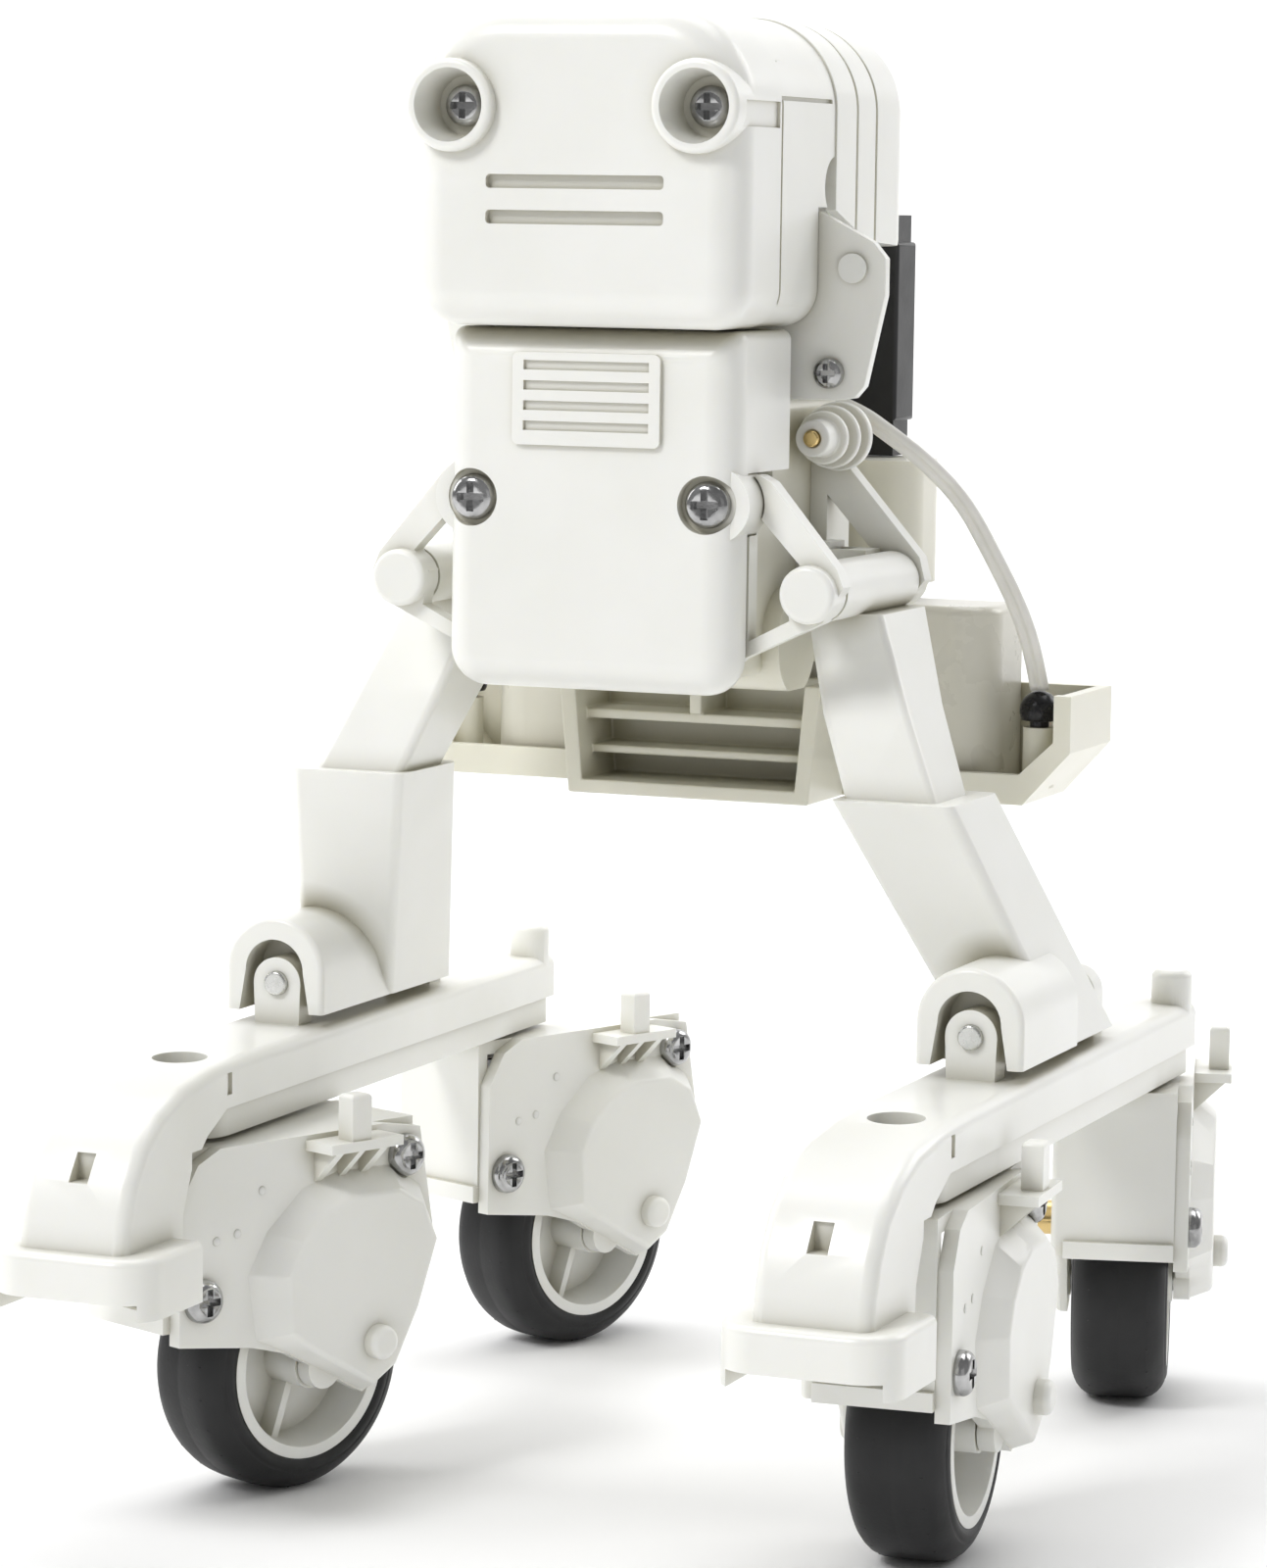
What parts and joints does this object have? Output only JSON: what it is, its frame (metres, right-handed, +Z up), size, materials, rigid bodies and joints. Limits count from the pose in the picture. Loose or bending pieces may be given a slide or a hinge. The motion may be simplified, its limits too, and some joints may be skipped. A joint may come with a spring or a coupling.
{
  "type": "two-legged skating robot figure",
  "caption": "White plastic two-legged skating robot: boxy head and torso, swinging legs and long foot decks on trailing caster wheels.",
  "frame": {"origin": "centre of the bounding box in X and Y, on the plane the wheels stand on", "axes": "+Z up, -Y the way the face looks, +X the robot's left"},
  "size_m": [0.1152, 0.1518, 0.1777],
  "materials": {
    "ivory_abs": "satin ABS",
    "black_plastic": "matt",
    "dark_screw": "dark nickel",
    "steel_pin": "bright",
    "motor_can": "drawn",
    "gear_acetal": "satin",
    "tyre_rubber": "moulded",
    "lead_jacket": "vinyl",
    "brass_shaft": "bright",
    "cell_wrap": "shrink sleeve"
  },
  "bodies": {
    "robot_body": {"head_front_shell": "ivory_abs", "head_mid_frame": "ivory_abs", "head_rear_shell": "ivory_abs", "torso_front_cover": "ivory_abs", "gearbox_case": "ivory_abs", "gearbox_cover": "ivory_abs", "front_hip_bracket": "ivory_abs", "rear_hip_brackets": "ivory_abs", "wing_plate": "ivory_abs", "wing_fasteners": "dark_screw", "front_screws": "dark_screw", "shaft_bushes": "ivory_abs", "idler_shafts": "brass_shaft", "belly_box": "ivory_abs", "battery_tray": "ivory_abs", "battery_cover": "ivory_abs", "battery_cells": "cell_wrap", "terminal_screws": "dark_screw", "rear_housing": "ivory_abs", "receiver_case": "black_plastic", "receiver_studs": "ivory_abs", "motor": "motor_can", "hip_pins": "steel_pin", "power_lead": "lead_jacket"},
    "motor_pinion": {"motor_pinion": "gear_acetal"},
    "reduction_gear": {"reduction_gear": "gear_acetal"},
    "crank_gear": {"crank_gear": "gear_acetal"},
    "lifting_yoke": {"lifting_yoke": "gear_acetal"},
    "leg_left": {"thigh_left": "ivory_abs", "shin_left": "ivory_abs"},
    "foot_left": {"deck_left": "ivory_abs", "underframe_left": "ivory_abs", "ankle_pin_left": "steel_pin", "king_pins_left": "dark_screw"},
    "leg_right": {"thigh_right": "ivory_abs", "shin_right": "ivory_abs"},
    "foot_right": {"deck_right": "ivory_abs", "underframe_right": "ivory_abs", "ankle_pin_right": "steel_pin", "king_pins_right": "dark_screw"},
    "caster_front_left": {"fork_front_left": "ivory_abs", "fork_cover_front_left": "ivory_abs", "fork_hardware_front_left": "dark_screw"},
    "wheel_front_left": {"tyre_front_left": "tyre_rubber", "wheel_hub_front_left": "ivory_abs"},
    "caster_front_right": {"fork_front_right": "ivory_abs", "fork_cover_front_right": "ivory_abs", "fork_hardware_front_right": "dark_screw"},
    "wheel_front_right": {"tyre_front_right": "tyre_rubber", "wheel_hub_front_right": "ivory_abs"},
    "caster_rear_left": {"fork_rear_left": "ivory_abs", "fork_cover_rear_left": "ivory_abs", "fork_hardware_rear_left": "dark_screw"},
    "wheel_rear_left": {"tyre_rear_left": "tyre_rubber", "wheel_hub_rear_left": "ivory_abs"},
    "caster_rear_right": {"fork_rear_right": "ivory_abs", "fork_cover_rear_right": "ivory_abs", "fork_hardware_rear_right": "dark_screw"},
    "wheel_rear_right": {"tyre_rear_right": "tyre_rubber", "wheel_hub_rear_right": "ivory_abs"}
  },
  "joints": [
    {"name": "hip_left", "type": "hinge", "parent": "robot_body", "child": "leg_left", "pos_m": [0.02585, -0.01128, 0.1106], "axis": [0, 1, 0], "range_deg": [-7, 9]},
    {"name": "hip_right", "type": "hinge", "parent": "robot_body", "child": "leg_right", "pos_m": [-0.02615, -0.01128, 0.1106], "axis": [0, 1, 0], "range_deg": [-9, 7]},
    {"name": "yoke_slide", "type": "slide", "parent": "robot_body", "child": "lifting_yoke", "axis": [0, 0, 1], "range_m": [-0.00075, 0.00096]},
    {"name": "ankle_left", "type": "hinge", "parent": "leg_left", "child": "foot_left", "pos_m": [0.04485, 0.00372, 0.0594], "axis": [0, 1, 0], "range_deg": [-8, 8]},
    {"name": "ankle_right", "type": "hinge", "parent": "leg_right", "child": "foot_right", "pos_m": [-0.04515, 0.00372, 0.0594], "axis": [0, 1, 0], "range_deg": [-8, 8]},
    {"name": "swivel_front_left", "type": "hinge", "parent": "foot_left", "child": "caster_front_left", "pos_m": [0.04485, -0.04648, 0.0435], "axis": [0, 0, 1], "range_deg": [-30, 5.5]},
    {"name": "axle_front_left", "type": "hinge", "parent": "caster_front_left", "child": "wheel_front_left", "pos_m": [0.04377, -0.03101, 0.0157], "axis": [0.9976, 0.0698, 0], "continuous": true},
    {"name": "swivel_front_right", "type": "hinge", "parent": "foot_right", "child": "caster_front_right", "pos_m": [-0.04515, -0.04648, 0.0435], "axis": [0, 0, 1], "range_deg": [-3, 32.5]},
    {"name": "axle_front_right", "type": "hinge", "parent": "caster_front_right", "child": "wheel_front_right", "pos_m": [-0.03909, -0.03221, 0.0157], "axis": [0.9205, -0.3907, 0], "continuous": true},
    {"name": "swivel_rear_left", "type": "hinge", "parent": "foot_left", "child": "caster_rear_left", "pos_m": [0.04485, 0.04172, 0.0435], "axis": [0, 0, 1], "range_deg": [-41, 3]},
    {"name": "axle_rear_left", "type": "hinge", "parent": "caster_rear_left", "child": "wheel_rear_left", "pos_m": [0.04084, 0.0567, 0.0157], "axis": [0.9659, 0.2588, 0], "continuous": true},
    {"name": "swivel_rear_right", "type": "hinge", "parent": "foot_right", "child": "caster_rear_right", "pos_m": [-0.04515, 0.04172, 0.0435], "axis": [0, 0, 1], "range_deg": [-4, 40]},
    {"name": "axle_rear_right", "type": "hinge", "parent": "caster_rear_right", "child": "wheel_rear_right", "pos_m": [-0.03934, 0.05609, 0.0157], "axis": [0.9272, -0.3746, 0], "continuous": true},
    {"name": "reduction_spin", "type": "hinge", "parent": "robot_body", "child": "reduction_gear", "pos_m": [-0.00015, 0.00072, 0.11724], "axis": [1, 0, 0], "continuous": true},
    {"name": "pinion_spin", "type": "hinge", "parent": "robot_body", "child": "motor_pinion", "pos_m": [-0.00015, -0.00828, 0.1093], "axis": [1, 0, 0], "continuous": true},
    {"name": "crank_spin", "type": "hinge", "parent": "robot_body", "child": "crank_gear", "pos_m": [-0.00015, 0.00772, 0.10941], "axis": [1, 0, 0], "continuous": true}
  ],
  "couplings": [
    {"joint": "hip_right", "follows": "hip_left", "ratio": -1},
    {"joint": "yoke_slide", "follows": "hip_left", "m_per_rad": 0.006},
    {"joint": "pinion_spin", "follows": "reduction_spin", "ratio": -2.2},
    {"joint": "crank_spin", "follows": "reduction_spin", "ratio": -0.55556}
  ]
}
